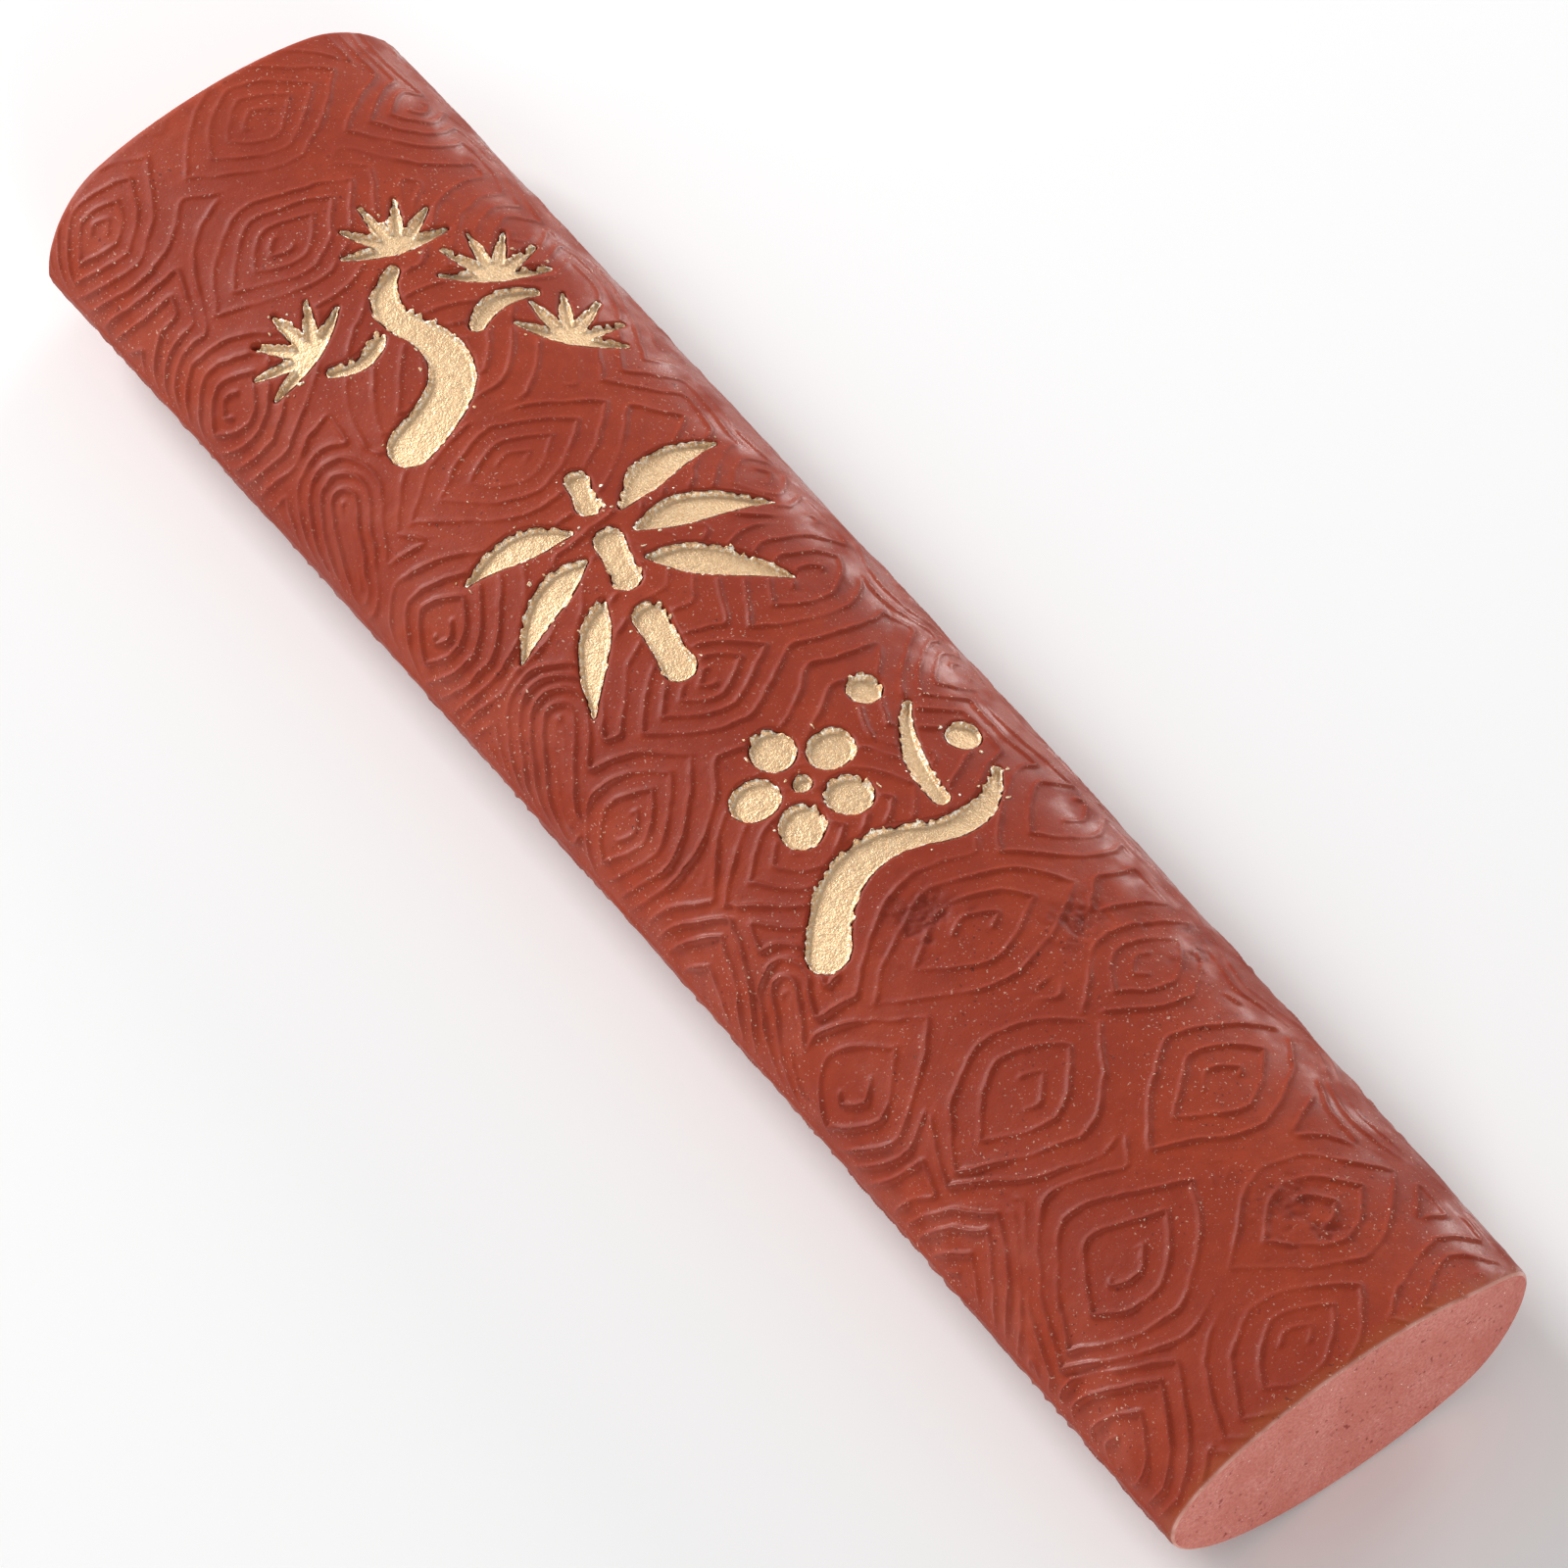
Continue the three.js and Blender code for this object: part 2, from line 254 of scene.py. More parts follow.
def rings_about(dx, dw, turn, half_along, half_across, rings, gap):
    """How many lines out from a nest's heart points (dx, dw) lie, and the points in the nest's frame."""
    u = (dx * math.cos(turn) + dw * math.sin(turn)) / half_along
    v = (dw * math.cos(turn) - dx * math.sin(turn)) / half_across
    lens = (np.abs(u) + np.sqrt(u**2 + 4 * v**2)) / 2
    reach = lens + DIAMOND * (np.abs(u) + np.abs(v) - lens)
    beyond = np.hypot(dx, dw) * (1 - 1 / np.maximum(reach, 1)) / gap
    return np.where(reach < 1, rings * reach**RING_SPREAD, rings + beyond), u, v


def bundle_number(dx, dw):
    """The number of the line that each point (dx, dw) from a bundle's middle lies on."""
    aside = dx * math.cos(BUNDLE_TURN) + dw * math.sin(BUNDLE_TURN)
    down = dw * math.cos(BUNDLE_TURN) - dx * math.sin(BUNDLE_TURN)
    past_end = np.maximum(np.abs(down) - BUNDLE_HALF_LENGTH, 0)
    return BUNDLE_FIRST + np.hypot(aside, past_end) / BUNDLE_GAP


def edge_sway(x):
    """How far the lines along the right shoulder sway, in waves of uneven length."""
    return EDGE_SWAY * np.sin(0.45 * x + 1.3 * np.sin(0.21 * x))


def nest_field(x, arc, nests, noise):
    """How many lines out from the nearest nest's heart points lie, and how open its first ring is there.

    A whole number is a line."""
    gap = LINE_GAP + (SHOULDER_GAP - LINE_GAP) * smoothstep(*SHOULDER_GAP_ZONE, -arc)
    strays = [
        sum(far * noise.rough(x + 91 * k, arc - 77 * k, grain) for far, grain in WOBBLES) for k in (0, 1)
    ]
    x, arc = x + strays[0], arc + strays[1]
    nearest = EDGE_FIRST + np.abs(EDGE_START + edge_sway(x) - arc) / EDGE_GAP
    blended = np.exp(-nearest / BLEND)
    opened = np.zeros(x.shape)
    for number, (along, across, half_along, half_across, rings) in enumerate(nests):
        turn = NEST_TURN + NEST_TURN_SPREAD * math.sin(NEST_TURN_STEP * number)
        dx, dw = x - along, arc - section.arc_of(across)
        here, u, v = rings_about(dx, dw, turn, half_along, half_across, rings, gap)
        open_turn = NEST_OPEN_STEP * number
        open_side = smoothstep(0, 0.08, u * math.cos(open_turn) + v * math.sin(open_turn))
        first_ring = smoothstep(1.45, 1.3, here)
        opened = np.where(here < nearest, open_side * first_ring, opened)
        nearest = np.minimum(nearest, here)
        blended += np.exp(-here / BLEND)
    for along, across in BUNDLES:
        here = bundle_number(x - along, arc - section.arc_of(across))
        opened = np.where(here < nearest, 0, opened)
        nearest = np.minimum(nearest, here)
        blended += np.exp(-here / BLEND)
    return np.maximum(-BLEND * np.log(blended), 0), opened


def blurred(values, reach):
    """Values averaged over a square of the grid that runs `reach` points each way."""
    window = 2 * reach + 1
    for axis in (0, 1):
        margins = [(reach + 1, reach) if axis == other else (0, 0) for other in (0, 1)]
        sums = np.moveaxis(np.cumsum(np.pad(values, margins, mode="edge"), axis), axis, 0)
        values = np.moveaxis((sums[window:] - sums[:-window]) / window, 0, axis)
    return values


def steepness(field, x, arc):
    """How fast the count of lines rises, in lines a millimetre."""
    return np.hypot(np.gradient(field, axis=0) / np.gradient(x, axis=0),
                    np.gradient(field, axis=1) / np.gradient(arc, axis=1))


def mould_relief(x, arc, nests, noise):
    """Height of the mould's raised lines over a grid of points, and how much of a line each point is."""
    field, opened = nest_field(x, arc, nests, noise)
    slope = steepness(field, x, arc)
    off_line = np.abs((field + 0.5) % 1 - 0.5)
    distance = off_line / np.maximum(slope, LEAST_SLOPE)
    clear = smoothstep(*CLEAR_SLOPE, slope)
    clear = clear * smoothstep(*LOOP_SLOPE, steepness(blurred(field, LOOP_REACH), x, arc))
    width = LINE_SIGMA * (1 + 0.3 * noise.rough(x, arc, 1.2))
    worn = WORN_LIFT + (1 - WORN_LIFT) * smoothstep(-0.6, 0.2, noise.rough(x, arc, 2.6))
    ends = END_LIFT + (1 - END_LIFT) * smoothstep(0.3, 2.5, LENGTH / 2 - np.abs(x))
    lift = 1 + LEFT_LIFT * smoothstep(*LEFT_LIFT_ZONE, -arc)
    lift = lift * (BACK_LIFT + (1 - BACK_LIFT) * smoothstep(*BACK_LIFT_ZONE, x))
    off_heart = smoothstep(0.4, 0.7, field)
    off_seam = smoothstep(0.1, 1.8, section.quarter - np.abs(arc))
    present = lift * clear * worn * ends * off_heart * (1 - opened) * off_seam
    line = np.exp(-((distance / width) ** 2)) * present
    return LINE_HEIGHT * line + TAIL_HEIGHT * np.exp(-distance / TAIL) * present, line


def crumble(x, arc, noise):
    """How crumbled the ink is, from 0 to 1, and the depth of its crumbs."""
    amount = np.zeros(x.shape)
    for along, across, radius in CRUMBLED:
        away = np.hypot(x - along, arc - section.arc_of(across)) / radius
        amount = np.maximum(amount, np.exp(-(away**2)))
    amount = amount * smoothstep(-0.3, 0.4, noise.rough(x, arc, 1.1))
    return amount, amount * CRUMB_DEPTH * (noise.rough(x, arc, 0.4) - 0.5)


# ---------------------------------------------------------------- the gold's outlines

def outline_of(node):
    """The outline of a CAD film seen from above, as a loop of points in millimetres."""
    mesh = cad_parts[node].data
    places = [tuple(np.round(np.array(vertex.co) / MM, 3)) for vertex in mesh.vertices]
    edges = {}  # a dict, because it keeps their order
    for face in mesh.polygons:
        if face.normal.z < UPWARD:
            continue
        corners = [places[index] for index in face.vertices]
        for a, b in zip(corners, corners[1:] + corners[:1]):
            if (b, a) in edges:
                del edges[b, a]
            else:
                edges[a, b] = True
    following = {a: b for a, b in edges}
    loop = [next(iter(following))]
    while len(loop) < len(following):
        loop.append(following[loop[-1]])
    return np.array(loop)[:, :2]


def outline_distance(points, loop):
    """How far points lie outside a closed outline. Inside it is negative."""
    a, b = loop, np.roll(loop, -1, axis=0)
    side = b - a
    offset = points[:, None] - a[None]
    share = np.clip((offset * side).sum(2) / np.maximum((side * side).sum(1), 1e-12), 0, 1)
    distance = np.linalg.norm(offset - share[..., None] * side, axis=2).min(1)
    crosses = (a[:, 1] > points[:, None, 1]) != (b[:, 1] > points[:, None, 1])
    with np.errstate(divide="ignore", invalid="ignore"):
        at_x = a[:, 0] + (points[:, None, 1] - a[:, 1]) * side[:, 0] / side[:, 1]
    inside = (crosses & (points[:, None, 0] < at_x)).sum(1) % 2 == 1
    return np.where(inside, -distance, distance)


gold_nodes = sorted(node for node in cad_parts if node.endswith("_gold"))
outlines = {node: outline_of(node) for node in gold_nodes}


def recess_distance(x, y):
    """How far points lie outside the nearest recess. Far from them all it is RECESS_MARGIN."""
    distance = np.full(x.shape, RECESS_MARGIN)
    for loop in outlines.values():
        low, high = loop.min(0) - RECESS_MARGIN, loop.max(0) + RECESS_MARGIN
        near = (x > low[0]) & (x < high[0]) & (y > low[1]) & (y < high[1])
        found = outline_distance(np.column_stack([x[near], y[near]]), loop) - FILM_GAP
        distance[near] = np.minimum(distance[near], found)
    return distance


def recess_drop(distance):
    """How deep the ink is sunk at a distance outside a recess."""
    return RECESS_DEPTH * smoothstep(WALL_OUT, -WALL_IN, distance)


# ---------------------------------------------------------------- meshes

def triangulate(loop, cell, clearance=0.55):
    """Points and triangles that fill a closed outline. The outline's points come first, in order."""
    low, high = loop.min(0), loop.max(0)
    columns = np.arange(low[0], high[0], cell)
    rows = np.arange(low[1], high[1], cell * math.sqrt(3) / 2)
    x, y = np.meshgrid(columns, rows)
    x = x + 0.5 * cell * (np.arange(len(rows)) % 2)[:, None]
    inner = np.column_stack([x.ravel(), y.ravel()])
    inner = inner[outline_distance(inner, loop) < -clearance * cell]
    points = [Vector(point) for point in np.vstack([loop, inner])]
    count = len(loop)
    made = geometry.delaunay_2d_cdt(points, [], [list(range(count))], 1, 1e-6, True)
    origin = [sources[0] for sources in made[3]]
    triangles = np.array([[origin[index] for index in face] for face in made[2]])
    return np.array(points), triangles


def filled(field, low, high, cell):
    """Points and faces that fill the region of the box low to high where `field` is negative.

    The faces are triangles of an even lattice. Those on the region's edge are moved or cut to follow it."""
    step = np.array([cell, cell * math.sqrt(3) / 2])
    columns, rows = (np.ceil((high - low) / step) + 1).astype(int)
    i, j = np.meshgrid(np.arange(columns), np.arange(rows))
    points = low + np.column_stack([(i + 0.5 * (j % 2)).ravel(), j.ravel()]) * step
    value = field(points)
    snapped = np.flatnonzero(np.abs(value) < SNAP * cell)
    points[snapped] -= value[snapped, None] * slope_of(field, points[snapped], 0.1 * cell)
    value[snapped] = 0
    at = (i + j * columns)[:-1, :-1]
    even = (j % 2 == 0)[:-1, :-1, None]
    beside, above, across = at + 1, at + columns, at + columns + 1
    lower = np.where(even, np.stack([at, beside, above], -1), np.stack([at, beside, across], -1))
    upper = np.where(even, np.stack([beside, across, above], -1), np.stack([at, across, above], -1))
    triangles = np.concatenate([lower.reshape(-1, 3), upper.reshape(-1, 3)])
    triangles = triangles[(value[triangles] < 0).any(1)]
    points = points.tolist()
    cuts = {}

    def cut(a, b):
        key = (min(a, b), max(a, b))
        if key not in cuts:
            share = value[a] / (value[a] - value[b])
            cuts[key] = len(points)
            points.append([points[a][k] + share * (points[b][k] - points[a][k]) for k in (0, 1)])
        return cuts[key]

    faces = []
    for triangle in triangles.tolist():
        face = []
        for a, b in zip(triangle, triangle[1:] + triangle[:1]):
            if value[a] <= 0:
                face.append(a)
            if value[a] * value[b] < 0:
                face.append(cut(a, b))
        faces.append(face)
    used = sorted({index for face in faces for index in face})
    renumbered = {index: number for number, index in enumerate(used)}
    return np.array(points)[used], [[renumbered[index] for index in face] for face in faces]


def slope_of(field, points, reach):
    """The direction in which a distance field grows, with a length of 1."""
    slope = np.column_stack([field(points + step) - field(points - step) for step in reach * np.eye(2)])
    return slope / np.maximum(np.linalg.norm(slope, axis=1), 1e-9)[:, None]


def rim_edges(faces):
    """The edges that only one face has, in that face's direction."""
    edges = {(a, b) for face in faces for a, b in zip(face, face[1:] + face[:1])}
    return [(a, b) for a, b in edges if (b, a) not in edges]


def scene_object(name, data):
    """A new object that is part of the scene."""
    made = bpy.data.objects.new(name, data)
    bpy.context.scene.collection.objects.link(made)
    return made


def mesh_object(name, points, faces, attributes, materials, material_of=None):
    """A smooth-shaded piece. `attributes` holds values for its points, and `material_of` for its faces."""
    mesh = bpy.data.meshes.new(name)
    mesh.from_pydata((points * MM).tolist(), [], faces)
    for attribute, values in attributes.items():
        layer = mesh.attributes.new(attribute, "FLOAT", "POINT")
        layer.data.foreach_set("value", values.astype(np.float32))
    for material in materials:
        mesh.materials.append(material)
    if material_of is not None:
        mesh.polygons.foreach_set("material_index", material_of)
    mesh.polygons.foreach_set("use_smooth", [True] * len(mesh.polygons))
    mesh.validate()
    mesh.update()
    return scene_object(name, mesh)


# ---------------------------------------------------------------- the ink

LOWERED = 0.1  # the smooth ink lies this far inside the CAD model's surface, and its lines reach it
GRAIN = 0.012  # the unevenness of the whole surface
SEAM_HEIGHT, SEAM_SIGMA = 0.06, 0.16  # the line where the mould's two halves met
RUBBED_SHEEN_ZONE = (7.2, 9.2)  # how far round from the top the ink starts to be rubbed glossy and painted with pale sheen, and where it is most so
LEFT_RUB_SHEEN = 0.45  # how much the left shoulder is rubbed and painted with sheen, as a share of the right one
RIM_PALE = (0.17, 0.07)  # how far from the grinding end its pale edge starts, and where it is palest
STAIN_REACH = 1.1  # how far the stain spreads from the grinding end
# The end faces.
PIT_DEPTH, PIT_LEVEL = 0.5, 0.45  # with a higher level there are fewer pits
WAVE_DEPTH = 0.035
CAP_GRAIN = 0.018
CAP_RISE = 0.03  # the furthest that the grain stands out
# The one long scratch on the grinding end: its depth, middle, fall across the face, and size.
SCRATCH_DEPTH = 0.14
SCRATCH_Y, SCRATCH_Z = -1.0, 4.9
SCRATCH_FALL = 0.22
SCRATCH_HALF_LENGTH, SCRATCH_SIGMA = 0.95, 0.12


def rim_inset(x):
    """How far the edge at an end draws the section in."""
    radius = np.where(x > 0, RIM_RADIUS["grinding"], RIM_RADIUS["back"])
    inside = np.clip(radius - (LENGTH / 2 - np.abs(x)), 0, radius)
    return radius - np.sqrt(radius**2 - inside**2)


class Ink:
    """The moulded surface as a grid: stations along the stick, and points round it."""

    def __init__(self):
        end = LENGTH / 2
        back, front = RIM_RADIUS["back"], RIM_RADIUS["grinding"]
        back_rim, front_rim = RIM_STATIONS * back - end, end - RIM_STATIONS[::-1] * front
        middle = np.linspace(back - end, end - front, int((LENGTH - back - front) / CELL))
        self.along = np.concatenate([back_rim, middle, front_rim])
        steps = 2 * int(section.quarter / CELL)
        self.arc = np.linspace(-section.quarter, section.quarter, steps + 1)
        self.noise = Noise(7)
        self.upper = self.half(1, TOP_NESTS)
        self.lower = self.half(-1, UNDER_NESTS)

    def half(self, up, nests):
        """The places of the upper half (up 1) or the lower (up -1), and the values for its colours."""
        x, arc = np.meshgrid(self.along, self.arc, indexing="ij")
        relief, line = mould_relief(x, arc, nests, self.noise)
        crumbled, crumbs = crumble(x, arc, self.noise)
        if up < 0:
            relief, crumbled, crumbs = UNDER_LIFT * relief, 0 * crumbled, 0 * crumbs
        seam_height = 1 + 0.9 * self.noise.rough(x + 13 * up, 0 * arc, 2.2)
        seam = SEAM_HEIGHT * seam_height * np.exp(-(((section.quarter - np.abs(arc)) / SEAM_SIGMA) ** 2))
        grain = GRAIN * self.noise.rough(x + 200 * up, arc, 0.5)
        end_fade = smoothstep(0, 0.5, LENGTH / 2 - np.abs(x))
        height = (relief + crumbs + seam) * end_fade + grain - LOWERED - rim_inset(x)
        y, z = section.at(arc)
        normal_y, normal_z = section.normal(arc)
        y_bow, z_bow = bow(x)
        y = y + normal_y * height
        places = np.stack([worn_x(x, y), y + y_bow, HALF_THICK + up * (z + normal_z * height) + z_bow], -1)
        if up > 0:
            distance = recess_distance(places[..., 0].ravel(), places[..., 1].ravel()).reshape(x.shape)
            share = RECESS_RELIEF + (1 - RECESS_RELIEF) * smoothstep(0.1, 0.35, distance)
            smooth_z = HALF_THICK + z - normal_z * LOWERED + z_bow
            places[..., 2] = smooth_z + (places[..., 2] - smooth_z) * share - recess_drop(distance)
        return {"places": places, "line": line, "crumbled": crumbled, **self.colours(x, arc, up)}

    def colours(self, x, arc, up):
        """Shoulders rubbed glossy with painted pale sheen, and the grinding end broken and stained."""
        patchy = smoothstep(-0.35, 0.45, self.noise.rough(x + 300 * up, arc, 1.6))
        off_seam = smoothstep(0.3, 1.6, section.quarter - np.abs(arc))
        # The shoulders are rubbed glossy, and their pale patches are painted sheen.
        shoulder = smoothstep(*RUBBED_SHEEN_ZONE, np.abs(arc)) * off_seam
        rubbed_and_sheen = shoulder * patchy * np.where(arc > 0, 1, LEFT_RUB_SHEEN)
        from_end = LENGTH / 2 - np.abs(x)
        rim = (x > 0) * smoothstep(*RIM_PALE, from_end) * (0.55 + 0.45 * self.noise.rough(x, arc, 0.9))
        spread = STAIN_REACH * (1 + 0.7 * self.noise.rough(x - 90, arc, 1.8))
        stain = (x > 0) * smoothstep(spread, 0.2 * spread, from_end)
        return {"rubbed_and_sheen": rubbed_and_sheen, "rim": rim, "stain": stain}

    def height_at(self, points):
        """The height of the upper surface over points (x, y)."""
        y_bow = bow(points[:, 0])[0]
        row = np.interp(points[:, 0], self.along, np.arange(len(self.along)))
        column = np.interp(section.arc_of(points[:, 1] - y_bow), self.arc, np.arange(len(self.arc)))
        i = np.minimum(row.astype(int), len(self.along) - 2)
        j = np.minimum(column.astype(int), len(self.arc) - 2)
        u, v = row - i, column - j
        z = self.upper["places"][..., 2]
        near = z[i, j] * (1 - v) + z[i, j + 1] * v
        far = z[i + 1, j] * (1 - v) + z[i + 1, j + 1] * v
        return near * (1 - u) + far * u

    def ring(self, key):
        """Values of both halves, one closed ring of points per station."""
        upper, lower = self.upper[key], self.lower[key]
        return np.concatenate([upper, lower[:, -2:0:-1]], axis=1)


def smooth_top(points):
    """The height of the upper face over points (x, y), without its lines and recesses."""
    y_bow, z_bow = bow(points[:, 0])
    arc = section.arc_of(points[:, 1] - y_bow)
    return HALF_THICK + section.at(arc)[1] + z_bow - LOWERED


def scratch_depth(y, z):
    """How deep the scratch on the grinding end is at points (y, z)."""
    along = y - SCRATCH_Y
    across = z - SCRATCH_Z + SCRATCH_FALL * along + 0.08 * np.sin(5 * y)
    shape = np.exp(-((across / SCRATCH_SIGMA) ** 2) - (along / SCRATCH_HALF_LENGTH) ** 4)
    return SCRATCH_DEPTH * shape * (0.6 + 0.4 * smoothstep(-1, 1, along))


def end_face(ring_points, sign, first, noise):
    """The flat face at one end: its own inner points, and triangles that join them to the last ring."""
    loop = ring_points[:, 1:]
    plan, triangles = triangulate(loop, CAP_CELL)
    inner = plan[len(loop):]
    edge = -outline_distance(inner, loop)
    y, z = inner.T
    away = smoothstep(0, 0.5, edge)
    pits = PIT_DEPTH * np.clip(noise.rough(y + 40 * sign, z, 0.5) - PIT_LEVEL, 0, None)
    waves = WAVE_DEPTH * noise.rough(y, z + 60 * sign, 3.0)
    scratch = scratch_depth(y, z) if sign > 0 else 0
    inset = away * (pits + waves + scratch + CAP_GRAIN * noise(y, z, 0.3))
    flat_x = np.abs(worn_x(np.full(len(y), sign * LENGTH / 2), y - bow(LENGTH / 2)[0]))
    x = sign * (flat_x - np.maximum(inset, -CAP_RISE))
    index = np.concatenate([first["ring"], first["next"] + np.arange(len(inner))])
    corners = plan[triangles]
    turn = np.cross(corners[:, 1] - corners[:, 0], corners[:, 2] - corners[:, 0])
    triangles = np.where((turn * sign > 0)[:, None], triangles, triangles[:, ::-1])
    return np.column_stack([x, y, z]), index[triangles]


def ink_body(ink, materials):
    """The whole stick as one mesh. The second material is the grinding end's."""
    rings = ink.ring("places")
    stations, count = rings.shape[:2]
    side_points = rings.reshape(-1, 3)
    at = np.arange(stations * count).reshape(stations, count)
    beside = np.roll(at, -1, axis=1)
    sides = np.stack([at[:-1], at[1:], beside[1:], beside[:-1]], -1).reshape(-1, 4)
    noise = Noise(21)
    back, back_faces = end_face(rings[0], -1, {"ring": at[0], "next": len(side_points)}, noise)
    front_first = len(side_points) + len(back)
    front, front_faces = end_face(rings[-1], 1, {"ring": at[-1], "next": front_first}, noise)
    points = np.vstack([side_points, back, front])
    faces = sides.tolist() + back_faces.tolist() + front_faces.tolist()
    material_of = [0] * (len(sides) + len(back_faces)) + [1] * len(front_faces)
    bare = np.zeros(len(back) + len(front))
    keys = ("line", "crumbled", "rubbed_and_sheen", "rim", "stain")
    attributes = {key: np.concatenate([ink.ring(key).ravel(), bare]) for key in keys}
    return mesh_object("ink_stick_body", points, faces, attributes, materials, material_of)


# ---------------------------------------------------------------- the gold's pieces

def gold_film(node, ink, material, noise):
    """One closed film of gold, which fills its recess up to just under the face and creeps up its walls."""
    outline = outlines[node]

    def beyond_edge(points):
        """How far points lie outside the gold and its stray flecks."""
        x, y = points.T
        away = outline_distance(points, outline)
        toothed = smoothstep(-0.15, 0.45, noise(x - 30, y, 1.9))
        teeth = (GOLD_BURRS + GOLD_TEETH * toothed) * noise(x, y, 0.24)
        stray = GOLD_STRAY * noise.rough(x, y, 0.9) + teeth
        fleck = FLECK_FALL * (FLECK_LEVEL - noise(x + 60, y, 0.26)) + np.clip(away - FLECK_REACH, 0, None)
        return np.minimum(away - np.clip(stray, *GOLD_STRAY_RANGE), fleck)

    low, high = outline.min(0) - GOLD_MARGIN, outline.max(0) + GOLD_MARGIN
    plan, faces = filled(beyond_edge, low, high, GOLD_CELL)
    x, y = plan.T
    inside = -outline_distance(plan, outline)
    depth = GOLD_EDGE_DEPTH + (GOLD_DEPTH - GOLD_EDGE_DEPTH) * smoothstep(0, GOLD_MENISCUS, inside)
    texture = GOLD_LUMPS * noise.rough(x, y, 0.9) + GOLD_GRAIN * noise(x, y, 0.22)
    ink_z = ink.height_at(plan)
    top = np.maximum(smooth_top(plan) - depth + texture * smoothstep(0, 0.3, inside), ink_z + GOLD_SKIN)
    bottom = np.minimum(top, ink_z) - GOLD_SKIN
    count = len(plan)
    under = [[index + count for index in reversed(face)] for face in faces]
    wall = [[b, a, a + count, b + count] for a, b in rim_edges(faces)]
    points = np.vstack([np.column_stack([plan, top]), np.column_stack([plan, bottom])])
    edge = smoothstep(0.3, 0.02, np.concatenate([inside, inside]))
    name = node.replace("_gold", "_gold_film")
    return mesh_object(name, points, faces + under + wall, {"edge": edge}, [material])


# ---------------------------------------------------------------- materials

class Nodes:
    """A material's node tree, filled in with short calls."""

    def __init__(self, name):
        self.material = bpy.data.materials.new(name)
        self.material.use_nodes = True
        self.tree = self.material.node_tree
        self.shader = self.tree.nodes["Principled BSDF"]

    def add(self, kind, inputs=None, **settings):
        """A new node. Its inputs are numbers, colours or other nodes' outputs."""
        node = self.tree.nodes.new(kind)
        for name, value in settings.items():
            setattr(node, name, value)
        for name, value in (inputs or {}).items():
            self.put(node.inputs[name], value)
        return node

    def put(self, socket, value):
        if isinstance(value, bpy.types.NodeSocket):
            self.tree.links.new(value, socket)
        else:
            socket.default_value = value

    def place(self, scale):
        """The object's own coordinates, with one unit to each `scale` metres."""
        coordinates = self.add("ShaderNodeTexCoord").outputs["Object"]
        scaled = self.add("ShaderNodeVectorMath", {0: coordinates}, operation="SCALE")
        scaled.inputs["Scale"].default_value = 1 / scale
        return scaled.outputs["Vector"]

    def noise(self, grain, detail=3.0, roughness=0.5):
        """Noise from 0 to 1, with features about `grain` millimetres across."""
        inputs = {"Vector": self.place(grain * MM), "Scale": 1.0, "Detail": detail, "Roughness": roughness}
        return self.add("ShaderNodeTexNoise", inputs).outputs["Fac"]

    def ramp(self, value, low, high, to_low=0.0, to_high=1.0):
        """A smooth step from to_low to to_high while `value` goes from low to high."""
        inputs = {"Value": value, "From Min": low, "From Max": high, "To Min": to_low, "To Max": to_high}
        return self.add("ShaderNodeMapRange", inputs, interpolation_type="SMOOTHSTEP").outputs["Result"]

    def mix(self, share, first, second):
        """The first colour where `share` is 0, and the second where it is 1."""
        node = self.add("ShaderNodeMix", data_type="RGBA")
        self.put(node.inputs[0], share)
        self.put(node.inputs[6], first)
        self.put(node.inputs[7], second)
        return node.outputs[2]

    def math(self, operation, first, second):
        return self.add("ShaderNodeMath", {0: first, 1: second}, operation=operation).outputs[0]

    def value_of(self, attribute):
        return self.add("ShaderNodeAttribute", attribute_name=attribute).outputs["Fac"]

    def tint(self, colour, amount, strength, other):
        """`colour` with `other` mixed in, at `strength` where `amount` is 1."""
        return self.mix(self.math("MULTIPLY", amount, strength), colour, other)

    def bump(self, height, distance):
        inputs = {"Height": height, "Strength": 1.0, "Distance": distance * MM}
        return self.add("ShaderNodeBump", inputs).outputs["Normal"]


def linear(value):
    """An 8-bit screen value as a linear amount of light."""
    share = value / 255
    return ((share + 0.055) / 1.055) ** 2.4 if share > 0.04045 else share / 12.92


def tone(red, green, blue):
    """A colour given by its 8-bit screen values."""
    return (linear(red), linear(green), linear(blue), 1.0)


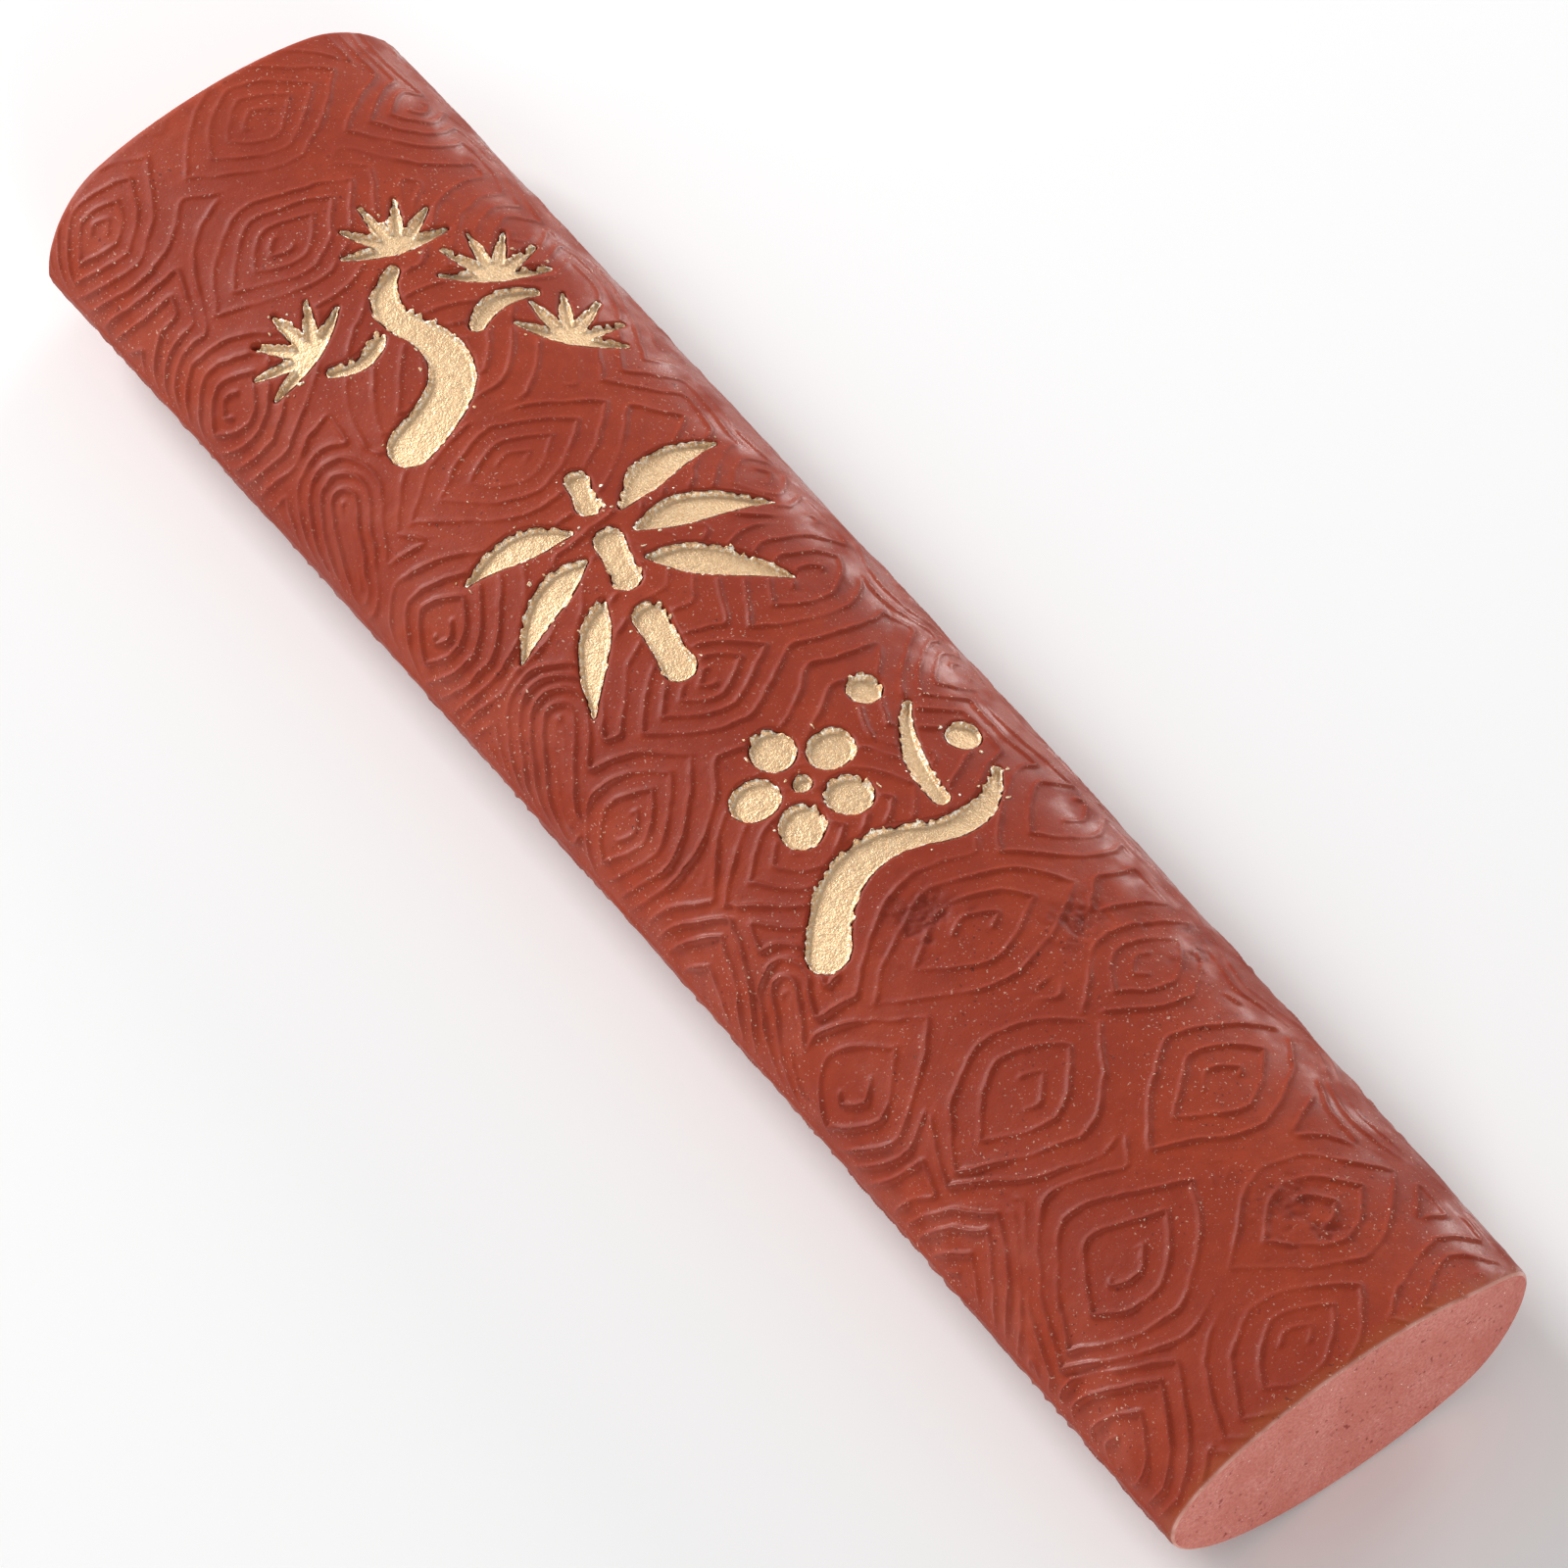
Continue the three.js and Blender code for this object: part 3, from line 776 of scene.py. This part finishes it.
def ink_material():
    nodes = Nodes("vermilion_ink")
    broad = nodes.ramp(nodes.noise(9.0, 4.0), 0.35, 0.65)
    mottled = nodes.ramp(nodes.noise(0.9, 4.0, 0.6), 0.3, 0.7)
    rubbed_and_sheen = nodes.value_of("rubbed_and_sheen")
    clusters = nodes.ramp(nodes.noise(6.0, 2.0), 0.4, 0.62, 0.25, 1.0)
    specks = nodes.math("MULTIPLY", nodes.ramp(nodes.noise(0.23, 1.0), 0.68, 0.75), clusters)
    on_lines = nodes.ramp(nodes.value_of("line"), 0.0, 0.5, 0.5, 1.0)
    # painted glints: pale sparkle dots, also given lower roughness and a bump
    sparkles = nodes.math("MULTIPLY", nodes.ramp(nodes.noise(0.15, 2.0, 0.6), 0.65, 0.69), clusters)
    sparkles = nodes.math("MULTIPLY", sparkles, on_lines)
    colour = nodes.mix(broad, tone(151, 51, 26), tone(163, 59, 30))
    for amount, strength, other in (
        (mottled, 0.4, tone(135, 44, 25)),
        # painted shade: the raised lines are darkened, adding to the dark lines their shading makes
        (nodes.value_of("line"), 0.3, tone(116, 40, 26)),
        (nodes.value_of("crumbled"), 0.65, tone(112, 34, 22)),
        (nodes.value_of("stain"), 0.5, tone(158, 76, 36)),
        # painted sheen: pale colour on the rubbed shoulders
        (rubbed_and_sheen, 0.3, tone(190, 112, 96)),
        (nodes.value_of("rim"), 1.0, tone(226, 172, 158)),
        (specks, 0.7, tone(90, 28, 20)),
        # painted glints
        (sparkles, 1.0, tone(248, 208, 182)),
    ):
        colour = nodes.tint(colour, amount, strength, other)
    nodes.put(nodes.shader.inputs["Base Color"], colour)
    rough = nodes.ramp(nodes.noise(2.5, 4.0, 0.6), 0.3, 0.7, 0.5, 0.66)
    rough = nodes.math("SUBTRACT", rough, nodes.math("MULTIPLY", rubbed_and_sheen, 0.34))
    rough = nodes.math("SUBTRACT", rough, nodes.math("MULTIPLY", sparkles, 0.25))
    nodes.put(nodes.shader.inputs["Roughness"], rough)
    nodes.shader.inputs["Specular IOR Level"].default_value = 0.25
    grain = nodes.math("ADD", nodes.noise(0.12, 3.0, 0.6), nodes.math("MULTIPLY", sparkles, 1.5))
    nodes.put(nodes.shader.inputs["Normal"], nodes.bump(grain, 0.014))
    return nodes.material


def cut_material():
    nodes = Nodes("cut_ink")
    broad = nodes.ramp(nodes.noise(3.0, 4.0, 0.6), 0.3, 0.7)
    fine = nodes.ramp(nodes.noise(0.16, 3.0, 0.7), 0.35, 0.65)
    pitted = nodes.ramp(nodes.noise(1.8, 2.0), 0.4, 0.6, 0.15, 1.0)
    pits = nodes.math("MULTIPLY", nodes.ramp(nodes.noise(0.3, 2.0), 0.6, 0.7), pitted)
    # painted glints: pale sparkle dots on the cut face
    sparkles = nodes.ramp(nodes.noise(0.17, 1.0), 0.76, 0.8)
    colour = nodes.mix(broad, tone(197, 119, 106), tone(212, 141, 129))
    colour = nodes.tint(colour, fine, 0.6, tone(182, 95, 83))
    # painted shade in the pits, which the bump below also sinks
    colour = nodes.tint(colour, pits, 0.75, tone(136, 58, 52))
    colour = nodes.tint(colour, sparkles, 1.0, tone(248, 224, 214))
    nodes.put(nodes.shader.inputs["Base Color"], colour)
    nodes.shader.inputs["Roughness"].default_value = 0.85
    nodes.shader.inputs["Specular IOR Level"].default_value = 0.2
    grain = nodes.math("SUBTRACT", nodes.noise(0.1, 3.0, 0.6), pits)
    nodes.put(nodes.shader.inputs["Normal"], nodes.bump(grain, 0.02))
    return nodes.material


def gold_material():
    nodes = Nodes("gold_paint")
    fine = nodes.ramp(nodes.noise(0.2, 4.0, 0.7), 0.3, 0.7)
    broad = nodes.ramp(nodes.noise(1.6, 3.0), 0.3, 0.7)
    edge = nodes.value_of("edge")
    # painted shade: patches near the gold's edge darkened brown, where the recess walls lie in shade
    painted_edge_shade = nodes.math("MULTIPLY", edge, nodes.ramp(nodes.noise(0.3, 3.0, 0.7), 0.35, 0.65))
    glints = nodes.math("MULTIPLY", edge, nodes.ramp(nodes.noise(0.19, 2.0, 0.6), 0.53, 0.58))
    colour = nodes.mix(fine, tone(236, 193, 146), tone(253, 221, 177))
    colour = nodes.tint(colour, broad, 0.3, tone(234, 192, 148))
    colour = nodes.tint(colour, painted_edge_shade, 0.65, tone(156, 108, 60))
    colour = nodes.tint(colour, glints, 1.0, tone(255, 250, 232))
    nodes.put(nodes.shader.inputs["Base Color"], colour)
    nodes.shader.inputs["Metallic"].default_value = 0.4
    rough = nodes.ramp(nodes.noise(0.35, 3.0, 0.6), 0.3, 0.7, 0.36, 0.54)
    nodes.put(nodes.shader.inputs["Roughness"], rough)
    grain = nodes.noise(0.12, 2.0, 0.6)
    grain = nodes.math("ADD", grain, nodes.math("MULTIPLY", nodes.noise(0.4, 3.0), 0.4))
    nodes.put(nodes.shader.inputs["Normal"], nodes.bump(grain, 0.055))
    return nodes.material


# ---------------------------------------------------------------- camera, lights and floor

def view_axes():
    """The camera's right, up and back directions."""
    azimuth, elevation, roll = map(math.radians, (CAMERA_AZIMUTH, CAMERA_ELEVATION, CAMERA_ROLL))
    flat = math.cos(elevation)
    back = Vector((flat * math.cos(azimuth), flat * math.sin(azimuth), math.sin(elevation)))
    level = Vector((0, 0, 1)).cross(back).normalized()
    right = Matrix.Rotation(roll, 3, back) @ level
    return right, back.cross(right), back


def make_camera():
    middle = Vector((0, -SIDE_BOW / 2, HALF_THICK))
    right, up, back = view_axes()
    aim = middle + right * CAMERA_AIM_RIGHT - up * CAMERA_AIM_DOWN
    camera = bpy.data.cameras.new("camera")
    camera.lens = CAMERA_LENS
    camera.sensor_width = SENSOR
    camera.clip_start, camera.clip_end = 0.01, 10
    holder = scene_object("camera", camera)
    pose = Matrix((right, up, back)).transposed().to_4x4()
    pose.translation = (aim + back * CAMERA_DISTANCE) * MM
    holder.matrix_world = pose
    bpy.context.scene.camera = holder


def add_light(name, towards, distance, size, power):
    """A square lamp that stands `distance` metres off in direction `towards` and faces the stick."""
    lamp = bpy.data.lights.new(name, "AREA")
    lamp.size = size
    lamp.energy = power
    holder = scene_object(name, lamp)
    direction = Vector(towards).normalized()
    holder.matrix_world = direction.to_track_quat("Z", "Y").to_matrix().to_4x4()
    holder.location = direction * distance


def make_floor():
    half = FLOOR_HALF
    corners = [(-half, -half, 0), (half, -half, 0), (half, half, 0), (-half, half, 0)]
    mesh = bpy.data.meshes.new("floor")
    mesh.from_pydata(corners, [], [(0, 1, 2, 3)])
    nodes = Nodes("floor")
    nodes.shader.inputs["Base Color"].default_value = tone(252, 252, 252)
    nodes.shader.inputs["Roughness"].default_value = 0.9
    mesh.materials.append(nodes.material)
    floor = scene_object("floor", mesh)


def make_world():
    world = bpy.data.worlds.new("studio")
    world.use_nodes = True
    background = world.node_tree.nodes["Background"]
    background.inputs["Color"].default_value = (1, 1, 1, 1)
    background.inputs["Strength"].default_value = WORLD_STRENGTH
    bpy.context.scene.world = world


# ---------------------------------------------------------------- the scene

make_camera()
make_world()
make_floor()
for name, lamp in LAMPS.items():
    add_light(name, *lamp)
bpy.context.scene.view_settings.view_transform = "Standard"

ink = Ink()
body = ink_body(ink, [ink_material(), cut_material()])
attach(body, "root")
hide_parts("ink_body")

gold = gold_material()
gold_noise = Noise(43)
for node in gold_nodes:
    film = gold_film(node, ink, gold, gold_noise)
    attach(film, "root")
    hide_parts(node)
